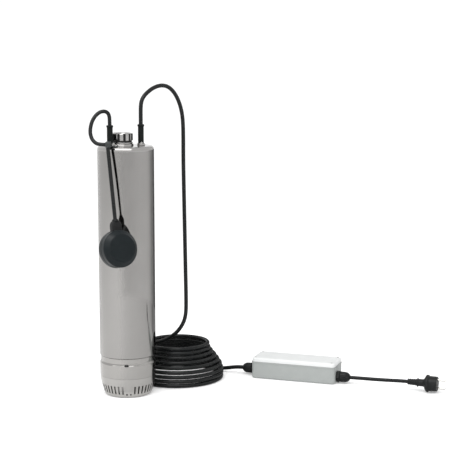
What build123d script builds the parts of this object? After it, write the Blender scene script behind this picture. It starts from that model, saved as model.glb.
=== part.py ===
from build123d import *
import math
import os

os.makedirs("parts", exist_ok=True)

# ---------------------------------------------------------------- dimensions
# millimetres, +Z up, origin at the centre of the pump's foot on the floor
R_BODY = 64.0          # outer radius of the 5-inch jacket
T_SLEEVE = 1.6         # jacket wall
Z_STRAINER = 45.0      # seam between strainer cup and suction casing
Z_GROOVE = 91.5        # groove under the jacket
Z_HEAD0 = 562.0        # jacket top, underside of the head plate
Z_HEAD1 = 572.0        # flat top of the head
Z_PORT = 600.0         # top of the discharge port
PORT_X, PORT_Y = -9.0, 2.0
R_PORT = 25.7          # outer radius of the port collar
R_THREAD = 19.5        # Rp 1 1/4 wall radius
Z_THREAD = 578.0       # bottom of the threaded wall
N_SLOTS = 40           # strainer slots pitch count
N_FLUTES = 12
R_ANN = 52.0           # motor and stage outer radius

GX, GY = 34.4, 7.5     # power-cable gland
FX, FY = -33.3, -26.0  # float-cable gland
R_PC = 4.7             # power cable radius
R_FC = 4.3             # float cable radius
R_MC = 4.3             # mains cable radius

STAGES = 3
Z_STAGE0 = 66.0
P_STAGE = 34.0

COIL_X, COIL_Y = 112.0, 137.0
COIL_RB, COIL_RT = 105.5, 76.0   # centreline radii of bottom and top turn
COIL_ZB, COIL_ZT = 4.7, 82.0

BOX_X, BOX_Y, BOX_A = 399.4, 122.1, -20.3   # start box centre and heading
BOX_L, BOX_W, BOX_H, LID_H = 208.0, 77.6, 39.8, 10.6
GL_Z = 15.0                                  # height of the box cable glands
GL_V = {-1: -1.0, 1: -14.0}                  # their side shift at the two ends

PLUG_X, PLUG_Y, PLUG_Z, PLUG_A = 650.0, 2.0, 20.0, -21.5

HX, HY, HZ = -35.0, -66.2, 566.0            # where the float cable leaves its clip
FC = (-13.2, -105.0, 352.0)                 # float centre
FN = Vector(0.512, -0.834, 0.2035).normalized()

V = Vector
CB = (Align.CENTER, Align.CENTER, Align.MIN)


def cyl(r, z0, z1, x=0.0, y=0.0):
    return Pos(x, y, z0) * Cylinder(r, z1 - z0, align=CB)


def ring(ro, ri, z0, z1, x=0.0, y=0.0):
    return cyl(ro, z0, z1, x, y) - cyl(ri, z0 - 1, z1 + 1, x, y)


def rev(pts):
    face = make_face(Polyline(*[(r, 0, z) for r, z in pts], close=True))
    return revolve(face, Axis.Z)


def box(cx, cy, z0, dx, dy, dz, a=0.0):
    return Pos(cx, cy, z0) * Rot(0, 0, a) * Box(dx, dy, dz, align=CB)


def save(name, *solids):
    shape = solids[0] if len(solids) == 1 else Compound(children=list(solids))
    export_step(shape, "parts/" + name + ".step")


def as_solid(shape):
    s = shape.solids()
    return s[0] if len(s) == 1 else Compound(children=list(s))


# ---------------------------------------------------------------- strainer
cup = rev([(0, 0), (50.5, 0), (53.2, 1.2), (54.6, 3.6), (61.6, 28), (62.9, 36), (63.6, Z_STRAINER),
           (60.0, Z_STRAINER), (59.4, 36), (58.6, 28), (51.8, 4.6), (49.5, 3.0), (0, 3.0)])
for i in range(N_SLOTS):
    a = -90.0 + (i + 0.5) * 360.0 / N_SLOTS
    off = abs((a + 90 + 180) % 360 - 180)
    a = a + 4.3
    if off < 9.5:
        cut = Rot(0, 0, a) * Pos(55, 0, 6.2) * Box(16, 3.4, 4.0, align=CB)
    else:
        cut = Rot(0, 0, a) * Pos(57, 0, 8.4) * Box(16, 3.6, 19.0, align=CB)
    cup = cup - cut
save("suction_strainer", as_solid(cup))

# ---------------------------------------------------------------- suction casing
casing = rev([(63.7, Z_STRAINER), (64.0, 47.0), (64.0, 75.6), (62.9, 77.6), (61.9, 81.0), (61.9, Z_GROOVE),
              (62.3, Z_GROOVE), (62.3, 104.0), (58.6, 104.0), (58.6, 78.0), (60.0, 74.0), (60.0, 67.0),
              (60.0, 61.0), (60.0, Z_STRAINER)])
casing = casing - rev([(59.7, 96.7), (63.5, 96.7), (63.5, 99.3), (59.7, 99.3)])
screws = []
for i in range(3):
    a = -90 + 120 * i
    h = Rot(0, 0, a) * Pos(58.0, 0, 76.8) * Rot(0, 90, 0) * Cylinder(1.9, 10, align=CB)
    casing = casing - h
    hd = Rot(0, 0, a) * Pos(61.6, 0, 76.8) * Rot(0, 90, 0) * Rot(0, 0, 90) * extrude(SlotOverall(10.0, 4.8), 5)
    casing = casing - hd
    sc = Rot(0, 0, a) * Pos(58.4, 0, 76.8) * Rot(0, 90, 0) * (Cylinder(1.85, 3.25, align=CB)
                                                           + Pos(0, 0, 3.2) * Cylinder(2.3, 1.6, align=CB))
    sc = sc - Rot(0, 0, a) * Pos(62.2, 0, 76.8) * Rot(0, 90, 0) * extrude(RegularPolygon(1.3, 6), 3)
    screws.append(as_solid(sc))
save("suction_casing", as_solid(casing))
save("casing_lock_screws", *screws)

# ---------------------------------------------------------------- jacket and head
sleeve = ring(R_BODY, R_BODY - T_SLEEVE, Z_GROOVE + 1.0, Z_HEAD0)
save("outer_sleeve", as_solid(sleeve))

pts = [(0, Z_HEAD0), (R_BODY, Z_HEAD0), (R_BODY, 564.0)]
for k in range(1, 9):
    t = math.radians(90.0 * k / 8)
    pts.append((56 + 8 * math.cos(t), 564.0 + 8 * math.sin(t)))
pts.append((0, Z_HEAD1))
head = rev(pts)
head = head + ring(62.3, 59.4, 546.0, Z_HEAD0 + 0.5)
head = head + cyl(26.6, Z_HEAD1 - 0.5, 576.0, PORT_X, PORT_Y)
head = head - rev([(59.9, 553.7), (63.5, 553.7), (63.5, 556.3), (59.9, 556.3)])
head = head - cyl(22.6, Z_HEAD0 - 1, 577.0, PORT_X, PORT_Y)
head = head - cyl(R_PC + 0.6, Z_HEAD0 - 1, 577.0, GX, GY) - cyl(R_FC + 0.6, Z_HEAD0 - 1, 577.0, FX, FY)

port = cyl(22.6, Z_HEAD0, 577.0) + cyl(23.6, 576.0, 583.4) + cyl(25.4, 576.8, 579.8) + cyl(R_PORT, 583.2, Z_PORT - 1.2) \
    + Pos(0, 0, Z_PORT - 1.2) * Cone(R_PORT, R_PORT - 1.2, 1.2, align=CB)
port = port - cyl(R_THREAD, Z_HEAD0 - 1, Z_PORT + 1) - cyl(20.6, Z_HEAD0 - 1, Z_THREAD)
for i in range(N_FLUTES):
    a = -90 + i * 360.0 / N_FLUTES + 18.0
    port = port - Rot(0, 0, a) * Pos(R_PORT + 0.9, 0, 582.6) * Cylinder(2.6, 30, align=CB)
port = Pos(PORT_X, PORT_Y, 0) * port
save("discharge_port", as_solid(port))

orings = []
for z in (98.0, 555.0):
    orings.append(Pos(0, 0, z) * Torus(61.12, 1.18))
save("sleeve_o_rings", *orings)

# gland plates, rubber sleeves and their screws
plates, gscrews = [], []
for (x, y, rc) in ((GX, GY, R_PC), (FX, FY, R_FC)):
    aa = math.degrees(math.atan2(y - PORT_Y, x - PORT_X))
    pl = Pos(x, y, Z_HEAD1) * Rot(0, 0, aa + 90) * extrude(SlotOverall(32, 17.5), 4.6)
    pl = pl - cyl(6.8, Z_HEAD1 - 1, 580, x, y) - cyl(8.1, Z_HEAD1 - 1, 574.2, x, y)
    for s in (-1, 1):
        px = x + s * 11.2 * math.cos(math.radians(aa + 90))
        py = y + s * 11.2 * math.sin(math.radians(aa + 90))
        pl = pl - cyl(1.75, Z_HEAD1 - 1, 580, px, py)
        head = head - cyl(1.75, 566.0, 580, px, py)
        g = cyl(1.7, 566.2, 576.7, px, py) + cyl(3.1, 576.6, 579.4, px, py)
        g = g - Pos(px, py, 577.8) * extrude(RegularPolygon(1.5, 6), 3)
        gscrews.append(as_solid(g))
    plates.append(as_solid(pl))
    gl = rev([(0, Z_HEAD1), (8.0, Z_HEAD1), (8.0, 574.1), (6.7, 574.1), (6.6, 613.5), (7.7, 615.2), (7.7, 618.2),
              (6.9, 619.0), (rc + 0.05, 619.0), (rc + 0.05, 600.0), (0, 600.0)])
    save("power_cable_gland" if rc == R_PC else "float_cable_gland", as_solid(Pos(x, y, 0) * gl))
save("gland_plates", *plates)
save("gland_screws", *gscrews)

# float cable clip on the front shoulder: its foot is screwed to the flat top of the head
CSX, CSY = -19.5, -49.0
clip = box(HX, -59.0, 572.6, 12.6, 27.0, 12.4)
clip = fillet(clip.edges().filter_by(Axis.Z), 4.0)
clip = clip + box(-23.0, -49.0, Z_HEAD1, 18.0, 8.4, 2.3)
clip = clip - Pos(HX - 2.0, -63.4, 578.8) * Rot(0, 90, 0) * Cylinder(R_FC + 0.05, 20, align=(Align.CENTER, Align.CENTER, Align.MAX))
clip = clip - cyl(1.75, 571, 580, CSX, CSY)
save("float_cable_clip", as_solid(clip))
head = head - cyl(1.75, 566.0, 580, CSX, CSY)
csc = cyl(1.7, 566.2, 574.4, CSX, CSY) + cyl(3.1, 574.3, 576.6, CSX, CSY)
csc = csc - Pos(CSX, CSY, 575.2) * extrude(RegularPolygon(1.5, 6), 3)
save("clip_screw", as_solid(csc))
save("discharge_head", as_solid(head))

# ---------------------------------------------------------------- hydraulics
sp = ring(59.8, 18.2, 61.5, 66.0)
for i in range(3):
    a = 30 + 120 * i
    sp = sp + Rot(0, 0, a) * Pos(20.5, 0, 50.0) * Box(17.5, 4.0, 6.0, align=CB)
    sp = sp + Rot(0, 0, a) * Pos(26.5, 0, 50.0) * Box(5.5, 4.0, 12.0, align=CB)
sp = sp + ring(13.0, 9.6, 46.5, 58.5)
sp = sp - cyl(9.6, 40, 60)
save("suction_plate", as_solid(sp))
save("lower_bush", as_solid(ring(9.6, 8.06, 46.5, 58.5)))


def vane_face(r0, r1, sweep, th, n=9):
    a_pts, b_pts = [], []
    for k in range(n + 1):
        f = k / n
        r = r0 + (r1 - r0) * f
        ang = math.radians(sweep * f)
        dx, dy = math.cos(ang), math.sin(ang)
        a_pts.append((r * dx + th / 2 * dy, r * dy - th / 2 * dx))
        b_pts.append((r * dx - th / 2 * dy, r * dy + th / 2 * dx))
    return make_face(Polyline(*a_pts, *reversed(b_pts), close=True))


for s in range(STAGES):
    z0 = Z_STAGE0 + s * P_STAGE
    bowl = ring(R_ANN, 48.5, z0, z0 + P_STAGE) + ring(42.0, 11.4, z0 + 18.2, z0 + 21.2)
    bowl = bowl + ring(49.0, 18.2, z0 + P_STAGE - 4.0, z0 + P_STAGE)
    for i in range(8):
        w = extrude(vane_face(27.0, 49.4, 34.0, 2.4), 9.2)
        bowl = bowl + Rot(0, 0, 45 * i) * Pos(0, 0, z0 + 21.0) * w
        bowl = bowl + Rot(0, 0, 45 * i + 24) * Pos(45.2, 0, z0 + 16.6) * Box(8.4, 2.4, 9.0, align=CB)
    if s == STAGES - 1:
        for i in range(8):
            bowl = bowl - Rot(0, 0, 45 * i + 6) * Pos(50, 0, z0 + 22.0) * Box(10, 14, 7.0, align=CB)
    save("stage_bowl_%d" % (s + 1), as_solid(bowl))
    imp = ring(40.0, 8.0, z0 + 13.2, z0 + 15.2) + ring(40.0, 15.4, z0 + 2.6, z0 + 4.6) \
        + ring(17.6, 15.4, z0 - 2.6, z0 + 3.0) + ring(11.0, 8.0, z0 + 1.2, z0 + 17.0)
    for i in range(6):
        w = extrude(vane_face(16.0, 39.6, -75.0, 2.2), 9.0)
        imp = imp + Rot(0, 0, 60 * i) * Pos(0, 0, z0 + 4.4) * w
    save("impeller_%d" % (s + 1), as_solid(imp))

spacers = []
for s in range(STAGES):
    z0 = Z_STAGE0 + s * P_STAGE
    z1 = z0 + P_STAGE + 1.2 if s < STAGES - 1 else 168.0
    spacers.append(as_solid(ring(10.9, 8.0, z0 + 17.0, z1)))
save("shaft_spacers", *spacers)
nut = Pos(0, 0, 60.6) * extrude(RegularPolygon(11.0, 6), 6.6) - cyl(8.0, 60, 70)
save("impeller_nut", as_solid(nut))

# ---------------------------------------------------------------- seal and motor
sh = rev([(12.0, 168.0), (52.0, 168.0), (52.0, 214.0), (48.0, 214.0), (48.0, 176.0), (18.2, 176.0), (18.2, 171.5),
          (12.0, 171.5)])
save("seal_housing", as_solid(sh))
save("seal_seat", as_solid(ring(18.2, 12.5, 171.5, 175.4)))
save("seal_ring", as_solid(rev([(10.0, 175.8), (16.4, 175.8), (16.4, 179.5), (13.6, 179.5), (13.6, 190.0),
                                (16.4, 190.0), (16.4, 193.0), (10.0, 193.0)])))
save("lower_bearing_bracket", as_solid(rev([
    (12.0, 214.0), (52.0, 214.0), (52.0, 220.0), (50.4, 220.0), (50.4, 234.0), (47.5, 234.0), (47.5, 221.0),
    (28.0, 221.0), (28.0, 234.0), (23.5, 234.0), (23.5, 220.0), (12.0, 220.0)])))
save("motor_casing", as_solid(ring(52.0, 50.4, 220.0, 532.0)))
save("upper_bearing_bracket", as_solid(rev([
    (12.0, 519.0), (23.5, 519.0), (23.5, 505.0), (28.0, 505.0), (28.0, 517.0), (47.5, 517.0), (47.5, 505.0),
    (50.4, 505.0), (50.4, 524.0), (12.0, 524.0)])))
Z_CORE0, Z_CORE1 = 300.0, 430.0
core = ring(50.4, 27.6, Z_CORE0, Z_CORE1)
for i in range(24):
    core = core - Rot(0, 0, 15 * i) * Pos(36.5, 0, Z_CORE0 - 1) * Box(15.0, 3.6, Z_CORE1 - Z_CORE0 + 2, align=CB)
save("stator_core", as_solid(core))
wind = []
for (z0, z1) in ((Z_CORE0 - 24.0, Z_CORE0), (Z_CORE1, Z_CORE1 + 24.0)):
    w = ring(45.5, 30.0, z0, z1)
    w = fillet(w.edges().filter_by(GeomType.CIRCLE).group_by(Axis.Z)[0 if z0 < Z_CORE0 else -1], 5.0)
    wind.append(as_solid(w))
for i in range(24):
    wind.append(as_solid(Rot(0, 0, 15 * i) * Pos(37.0, 0, Z_CORE0) * Box(13.6, 3.3, Z_CORE1 - Z_CORE0, align=CB)))
wtot = wind[0]
for w in wind[1:]:
    wtot = wtot + w
save("stator_winding", as_solid(wtot))
rc = ring(27.0, 10.0, Z_CORE0, Z_CORE1) + ring(26.0, 17.0, Z_CORE0 - 8, Z_CORE0 + 1) \
    + ring(26.0, 17.0, Z_CORE1 - 1, Z_CORE1 + 8)
save("rotor_core", as_solid(rc))
shaft = rev([(0, 47.0), (7.4, 47.0), (8.0, 47.6), (8.0, 168.0), (10.0, 168.0), (10.0, 520.0), (0, 520.0)])
save("shaft", as_solid(shaft))
outer_r, inner_r, balls = [], [], []
for zc in (227.0, 512.0):
    groove = Pos(0, 0, zc) * Torus(16.75, 4.35)
    outer_r.append(as_solid(ring(23.5, 19.2, zc - 7, zc + 7) - groove))
    inner_r.append(as_solid(ring(14.3, 10.0, zc - 7, zc + 7) - groove))
    for i in range(8):
        balls.append(Rot(0, 0, 45 * i) * Pos(16.75, 0, zc) * Sphere(3.97))
save("bearing_outer_races", *outer_r)
save("bearing_inner_races", *inner_r)
save("bearing_balls", *[as_solid(b) for b in balls])
cover = cyl(52.0, 532.0, 540.0) + ring(50.3, 46.0, 526.0, 533.0)
for (x, y, r0) in ((GX, GY, R_PC), (FX, FY, R_FC)):
    cover = cover + cyl(10.5, 539.0, Z_HEAD0, x, y)
    cover = cover - cyl(r0 + 0.6, 530.0, 570.0, x, y)
save("motor_top_cover", as_solid(cover))

# ---------------------------------------------------------------- float switch
fy_ax = V(-0.10, 0.178, 0.979)
fy_ax = (fy_ax - FN * fy_ax.dot(FN)).normalized()      # in-plane axis, towards the clip
fx_ax = fy_ax.cross(FN).normalized()
fl = Plane(origin=FC, x_dir=fx_ax, z_dir=FN)            # local y is fy_ax


def fl_part(shape):
    return fl * shape


shell = rev([(0, 21.5), (31.5, 21.5), (41.5, 12.5), (41.5, 0), (38.8, 0), (38.8, 11.3), (30.5, 18.9), (0, 18.9)])
back = rev([(0, -21.5), (31.5, -21.5), (41.5, -12.5), (41.5, 0), (38.8, 0), (38.8, -11.3), (30.5, -18.9), (0, -18.9)])
save("float_shell_front", as_solid(fl_part(shell)))
save("float_shell_back", as_solid(fl_part(back)))
neck = Pos(0, 51.5, 0) * Box(27.0, 23.0, 19.0)
neck = fillet(neck.edges().filter_by(Axis.Y), 6.0)
neck = neck + Pos(0, 63, 0) * Rot(-90, 0, 0) * Cone(7.4, 6.2, 3.0, align=CB)
neck = neck - Cylinder(41.55, 60)
neck = neck - Pos(0, 50, 0) * Rot(-90, 0, 0) * Cylinder(R_FC + 0.08, 30, align=CB)
save("float_neck", as_solid(fl_part(neck)))
drop_len = (V(HX, HY, HZ) - V(*FC)).length
d_dir = (V(HX, HY, HZ) - (V(*FC) + fl.y_dir * 50.0)).normalized()
d0 = V(*FC) + fl.y_dir * 50.0
d_len = (V(HX, HY, HZ) - d0).length
drop = Plane(origin=d0, z_dir=d_dir) * Cylinder(R_FC, d_len, align=CB) + Pos(HX, HY, HZ) * Sphere(R_FC)
save("float_cable_drop", as_solid(drop))
print("float drop length %.1f mm, direction off the float axis %.2f deg" % (d_len, d_dir.get_angle(fl.y_dir)))
sw = Pos(0, 16.75, -5.0) * Box(20.0, 14.5, 24.8)
sw = sw - Pos(0, 8.5, 0) * Box(22.0, 4.0, 7.0)
save("float_microswitch", as_solid(fl_part(sw)))
lever = Pos(0.0, 6.4, 0) * Box(18.0, 0.8, 5.0) + Pos(8.4, 7.6, 0) * Box(1.2, 3.2, 5.0)
save("switch_lever", as_solid(fl_part(lever)))
ball = Pos(0, -22.0, 0) * Sphere(8.0)
save("float_ball", as_solid(fl_part(ball)))
LEV_P = V(*FC) + fl.x_dir * 8.4 + fl.y_dir * 8.4
print("float axes x", tuple(round(c, 5) for c in fl.x_dir), "y", tuple(round(c, 5) for c in fl.y_dir),
      "z", tuple(round(c, 5) for c in fl.z_dir), "lever pivot", tuple(round(c, 2) for c in LEV_P))


# ---------------------------------------------------------------- cables
def route(name, pts, r, first_tangent=None):
    pts = [V(*p) for p in pts]
    radii = []
    for i in range(1, len(pts) - 1):
        a, b = pts[i] - pts[i - 1], pts[i + 1] - pts[i]
        turn = math.radians(a.get_angle(b))
        rad = 0.45 * min(a.length, b.length) / math.tan(turn / 2)
        radii.append(min(rad, 4000.0))
    path = FilletPolyline(*pts, radius=radii)
    sec = Plane(origin=path @ 0, z_dir=path % 0) * Circle(r)
    tube = sweep(sec, path=path)
    solid = tube.solids()[0]
    want = math.pi * r * r * path.length
    print("%s: length %.1f mm, volume ratio %.4f, radii %s" % (
        name, path.length, solid.volume / want, [round(q) for q in radii]))
    save(name, solid)


power_pts = [(GX, GY, 600.0), (GX, GY, 636.0), (34.7, 7.9, 662.0), (37.2, 10.2, 673.6), (42.0, 15.0, 682.6),
             (49.6, 23.0, 690.4),
             (59.5, 34.0, 698.2), (71.6, 46.5, 703.6), (84.0, 58.5, 704.9), (96.0, 70.0, 700.8),
             (106.6, 81.0, 690.6), (115.8, 91.0, 674.8), (123.2, 100.5, 654.0), (127.9, 107.5, 628.0),
             (128.9, 112.0, 590.0), (128.5, 115.0, 528.0), (129.9, 117.4, 432.0), (131.3, 119.0, 336.0),
             (132.7, 120.0, 241.0), (133.5, 120.2, 185.0), (132.4, 120.2, 156.0), (126.6, 120.4, 136.0),
             (113.0, 121.0, 115.4), (95.0, 125.0, 99.6), (76.0, 131.0, 87.6), (58.0, 138.6, 82.2),
             (45.2, 148.0, 81.9), (38.8, 160.6, 81.9)]
route("power_cable_run", power_pts, R_PC)

link_pts = [(179.8, 217.8, 4.7), (195.0, 205.2, 4.9), (214.0, 192.6, 6.2), (232.0, 183.3, 9.4),
            (248.0, 177.0, 12.9)]
bu = V(math.cos(math.radians(BOX_A)), math.sin(math.radians(BOX_A)), 0)
bv = V(-bu.Y, bu.X, 0)
bc = V(BOX_X, BOX_Y, 0)


def bx(u, v, z):
    return bc + bu * u + bv * v + V(0, 0, z)


link_pts += [tuple(bx(-145.0, GL_V[-1], GL_Z)), tuple(bx(-120.0, GL_V[-1], GL_Z))]
route("power_cable_link", link_pts, R_PC)

loop_pts = [(FX, FY, 600.0), (FX, FY, 631.0), (-34.2, -26.4, 640.5), (-37.4, -27.4, 647.2),
            (-43.6, -29.6, 650.6), (-53.4, -32.6, 649.6), (-63.8, -36.8, 641.6), (-71.4, -42.0, 629.0),
            (-74.8, -46.8, 614.6), (-75.0, -51.0, 602.0), (-71.0, -55.6, 590.2), (-64.0, -59.6, 582.8),
            (-54.4, -63.4, 578.8), (-37.0, -63.4, 578.8)]
route("float_cable_loop", loop_pts, R_FC)

pa = math.radians(PLUG_A)
pu = V(math.cos(pa), math.sin(pa), 0)
pc = V(PLUG_X, PLUG_Y, PLUG_Z)
m_pts = [tuple(bx(120.0, GL_V[1], GL_Z)), tuple(bx(146.0, GL_V[1], GL_Z)), (556.0, 49.2, 15.2), (584.0, 36.8, 15.9),
         (612.0, 22.4, 17.6), tuple(pc - pu * 16.0), tuple(pc + pu * 4.0)]
route("mains_cable", m_pts, R_MC)

coil = make_face(Polyline((COIL_RB - 4.7, 0, 0), (COIL_RB + 4.7, 0, 0), (COIL_RB + 4.7, 0, 5.5),
                          (COIL_RT + 4.7, 0, COIL_ZT), (COIL_RT + 3.3, 0, COIL_ZT + 4.7),
                          (COIL_RT - 3.3, 0, COIL_ZT + 4.7), (COIL_RT - 4.7, 0, COIL_ZT),
                          (COIL_RB - 4.7, 0, 5.5), close=True))
coil = Pos(COIL_X, COIL_Y, 0) * revolve(coil, Axis.Z)
save("power_cable_coil", as_solid(coil))

# ---------------------------------------------------------------- start box
bp = Plane(origin=(BOX_X, BOX_Y, 0), x_dir=bu, z_dir=(0, 0, 1))


def rbox(l, w, z0, z1, rad):
    return extrude(Pos(0, 0, z0) * RectangleRounded(l, w, rad), z1 - z0)


base = rbox(BOX_L - 1.6, BOX_W - 1.6, 0, BOX_H, 9.0)
base = fillet(base.faces().sort_by(Axis.Z)[0].edges(), 4.0)
base = base + rbox(BOX_L, BOX_W, BOX_H - 2.6, BOX_H, 9.8)
base = base - rbox(BOX_L - 6.8, BOX_W - 6.8, 3.0, BOX_H + 1, 6.4)
lid = rbox(BOX_L - 2.8, BOX_W - 2.8, BOX_H + 0.8, BOX_H + LID_H, 8.4)
lid = fillet(lid.faces().sort_by(Axis.Z)[-1].edges(), 5.0)
lid = lid - rbox(BOX_L - 8.0, BOX_W - 8.0, BOX_H, BOX_H + LID_H - 3.0, 5.8)
gasket = rbox(BOX_L - 3.6, BOX_W - 3.6, BOX_H, BOX_H + 0.8, 8.0) - rbox(BOX_L - 8.0, BOX_W - 8.0, BOX_H - 1, BOX_H + 2, 5.8)
bscr = []
for su in (-1, 1):
    for sv in (-1, 1):
        x, y = su * (BOX_L / 2 - 9.6), sv * (BOX_W / 2 - 9.6)
        post = cyl(5.4, 3.0, BOX_H, x, y)
        base = base + (post & rbox(BOX_L - 1.6, BOX_W - 1.6, 0, BOX_H, 9.0))
        lid = lid + cyl(5.4, BOX_H + 0.8, BOX_H + LID_H - 1.0, x, y)
        base = base - cyl(1.75, 12.0, BOX_H + 1, x, y)
        lid = lid - cyl(1.75, BOX_H, BOX_H + LID_H + 1, x, y) - cyl(3.3, BOX_H + LID_H - 3.0, BOX_H + LID_H + 1, x, y)
        gasket = gasket - cyl(5.5, BOX_H - 1, BOX_H + 2, x, y)
        lid = lid + (cyl(5.4, BOX_H, BOX_H + 1.0, x, y) - cyl(1.75, BOX_H - 1, BOX_H + 2, x, y))
        s = cyl(1.7, 14.0, BOX_H + LID_H - 2.9, x, y) + cyl(3.2, BOX_H + LID_H - 3.0, BOX_H + LID_H - 0.9, x, y)
        s = s - Pos(x, y, BOX_H + LID_H - 1.8) * Box(4.6, 1.0, 2.0, align=CB)
        bscr.append(as_solid(bp * s))
gaskets = gasket.solids()
gb, gn = [], []
for s in (-1, 1):
    gpl = Plane(origin=(s * BOX_L / 2, GL_V[s], GL_Z), x_dir=(0, 0, 1), z_dir=(s, 0, 0))
    base = base - gpl * Pos(0, 0, -9) * Cylinder(9.0, 20, align=CB)
    rr = R_PC if s < 0 else R_MC
    b = Pos(0, 0, -9.5) * Cylinder(8.9, 9.6, align=CB) + Rot(0, 0, 30) * extrude(RegularPolygon(13.2, 6), 7.6) \
        + Pos(0, 0, 7.5) * Cylinder(9.4, 7.5, align=CB)
    b = b - Pos(0, 0, -20) * Cylinder(rr + 0.05, 60, align=CB)
    b = b & Pos(0, 0, -20) * Cylinder(12.6, 60, align=CB)
    gb.append(as_solid(bp * (gpl * b)))
    n = revolve(make_face(Polyline((9.5, 0, 8.4), (12.4, 0, 8.4), (12.4, 0, 21.0), (11.6, 0, 26.4), (9.6, 0, 30.6),
                                   (7.2, 0, 32.8), (rr + 0.05, 0, 33.4), (rr + 0.05, 0, 15.4), (9.5, 0, 15.4),
                                   close=True)), Axis.Z)
    for k in range(12):
        n = n - Rot(0, 0, 30 * k) * Pos(12.9, 0, 7.0) * Box(1.4, 1.6, 15.0, align=CB)
    gn.append(as_solid(bp * (gpl * n)))
save("box_base", as_solid(bp * base))
save("box_lid", as_solid(bp * lid))
save("box_gasket", as_solid(bp * gasket))
save("box_screws", *bscr)
save("box_gland_bodies", *gb)
save("box_gland_nuts", *gn)
cap = bp * (Plane(origin=(-48.0, 0, 20.2), x_dir=(0, 1, 0), z_dir=(1, 0, 0)) * (
    Cylinder(17.0, 92.0, align=CB) + Pos(0, 0, 91) * Cylinder(6.0, 6.0, align=CB)))
save("capacitor", as_solid(cap))

# ---------------------------------------------------------------- mains plug
pp = Plane(origin=tuple(pc), x_dir=(0, 0, 1), z_dir=tuple(pu))
sl = [(R_MC + 0.05, 0)]
for k in range(5):
    s0 = k * 4.4
    ro = 6.4 + 0.32 * k
    sl += [(ro, s0), (ro, s0 + 2.6), (ro - 1.1, s0 + 2.6), (ro - 1.1, s0 + 4.4)]
sl += [(9.9, 22.0), (9.9, 24.0), (8.4, 27.6), (0, 27.6), (0, 6.0), (R_MC + 0.05, 6.0)]
sleeve_p = revolve(make_face(Polyline(*[(r, 0, z) for r, z in sl], close=True)), Axis.Z)
save("plug_sleeve", as_solid(pp * sleeve_p))
body_p = revolve(make_face(Polyline(*[(r, 0, z) for r, z in [
    (0, 27.6), (8.6, 27.6), (8.6, 36.5), (10.5, 39.0), (15.0, 41.0), (19.2, 44.0), (20.0, 45.0), (20.0, 48.6), (18.6, 50.0),
    (17.4, 50.4), (17.4, 69.0), (16.6, 70.0), (0, 70.0)]], close=True)), Axis.Z)
pins_p, holes = [], None
for s in (-1, 1):
    body_p = body_p - Pos(s * 9.5, 0, 58.0) * Cylinder(2.05, 20, align=CB)
    pn = Pos(s * 9.5, 0, 58.0) * Cylinder(2.0, 13.0, align=CB) + Pos(s * 9.5, 0, 70.5) * Cylinder(2.35, 17.5, align=CB)
    pn = pn + Pos(s * 9.5, 0, 88.0) * Cone(2.35, 1.5, 1.0, align=CB)
    pins_p.append(as_solid(pp * pn))
    # grip recesses above and below the face
    body_p = body_p - Pos(s * 20.2, 0, 52.0) * Box(7.0, 7.6, 19.0, align=CB)
body_p = body_p - Pos(0, 9.2, 58.0) * Cylinder(3.2, 20, align=CB)
save("plug_body", as_solid(pp * body_p))
save("plug_pins", *pins_p)
save("plug_earth_contact", as_solid(pp * (Pos(0, 9.2, 58.0) * (Cylinder(3.15, 11.2, align=CB) - Pos(0, 0, 10.4) * Cylinder(2.4, 2.0, align=CB)))))
print("box axis", tuple(round(c, 5) for c in bu), "plug axis", tuple(round(c, 5) for c in pu))
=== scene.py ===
import math
import random

import bmesh
import bpy
from mathutils import Matrix, Vector


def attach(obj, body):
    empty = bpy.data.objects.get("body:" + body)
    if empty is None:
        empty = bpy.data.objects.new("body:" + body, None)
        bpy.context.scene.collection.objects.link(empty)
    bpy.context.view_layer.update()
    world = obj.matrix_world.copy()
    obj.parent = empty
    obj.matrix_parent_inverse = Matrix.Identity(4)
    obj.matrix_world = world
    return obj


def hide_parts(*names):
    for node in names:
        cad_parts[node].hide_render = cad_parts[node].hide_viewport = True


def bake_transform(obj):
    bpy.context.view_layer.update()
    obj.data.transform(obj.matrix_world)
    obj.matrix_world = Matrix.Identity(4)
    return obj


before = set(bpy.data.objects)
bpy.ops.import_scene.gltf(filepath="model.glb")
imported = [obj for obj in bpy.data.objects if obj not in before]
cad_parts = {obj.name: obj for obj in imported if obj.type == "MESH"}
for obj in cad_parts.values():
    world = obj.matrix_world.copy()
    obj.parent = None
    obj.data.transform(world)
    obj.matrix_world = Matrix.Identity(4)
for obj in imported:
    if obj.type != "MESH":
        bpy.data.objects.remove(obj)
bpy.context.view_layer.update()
MM = 0.001
random.seed(11)
COLL = bpy.context.scene.collection


# ============================================================ camera
def make_camera():
    cam = bpy.data.cameras.new("cam")
    cam.sensor_width = 36.0
    cam.lens = 102.9
    cam.dof.use_dof = False
    cam.clip_end = 60.0
    ob = bpy.data.objects.new("cam", cam)
    ob.location = (0.168, -3.000, 0.813)
    ob.rotation_euler = (math.radians(90 - 8.35), 0.0, math.radians(-1.4))
    COLL.objects.link(ob)
    bpy.context.scene.camera = ob


make_camera()


# ============================================================ materials
def new_mat(name):
    m = bpy.data.materials.new(name)
    m.use_nodes = True
    nt = m.node_tree
    nt.nodes.clear()
    out = nt.nodes.new("ShaderNodeOutputMaterial")
    b = nt.nodes.new("ShaderNodeBsdfPrincipled")
    nt.links.new(b.outputs[0], out.inputs[0])
    return m, nt, b


def coords(nt, scale=(1, 1, 1)):
    tc = nt.nodes.new("ShaderNodeTexCoord")
    mp = nt.nodes.new("ShaderNodeMapping")
    mp.inputs["Scale"].default_value = scale
    nt.links.new(tc.outputs["Object"], mp.inputs["Vector"])
    return mp.outputs[0]


def noise(nt, vec, scale, detail=4.0, rough=0.55):
    n = nt.nodes.new("ShaderNodeTexNoise")
    n.inputs["Scale"].default_value = scale
    n.inputs["Detail"].default_value = detail
    n.inputs["Roughness"].default_value = rough
    nt.links.new(vec, n.inputs["Vector"])
    return n.outputs[0]


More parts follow.
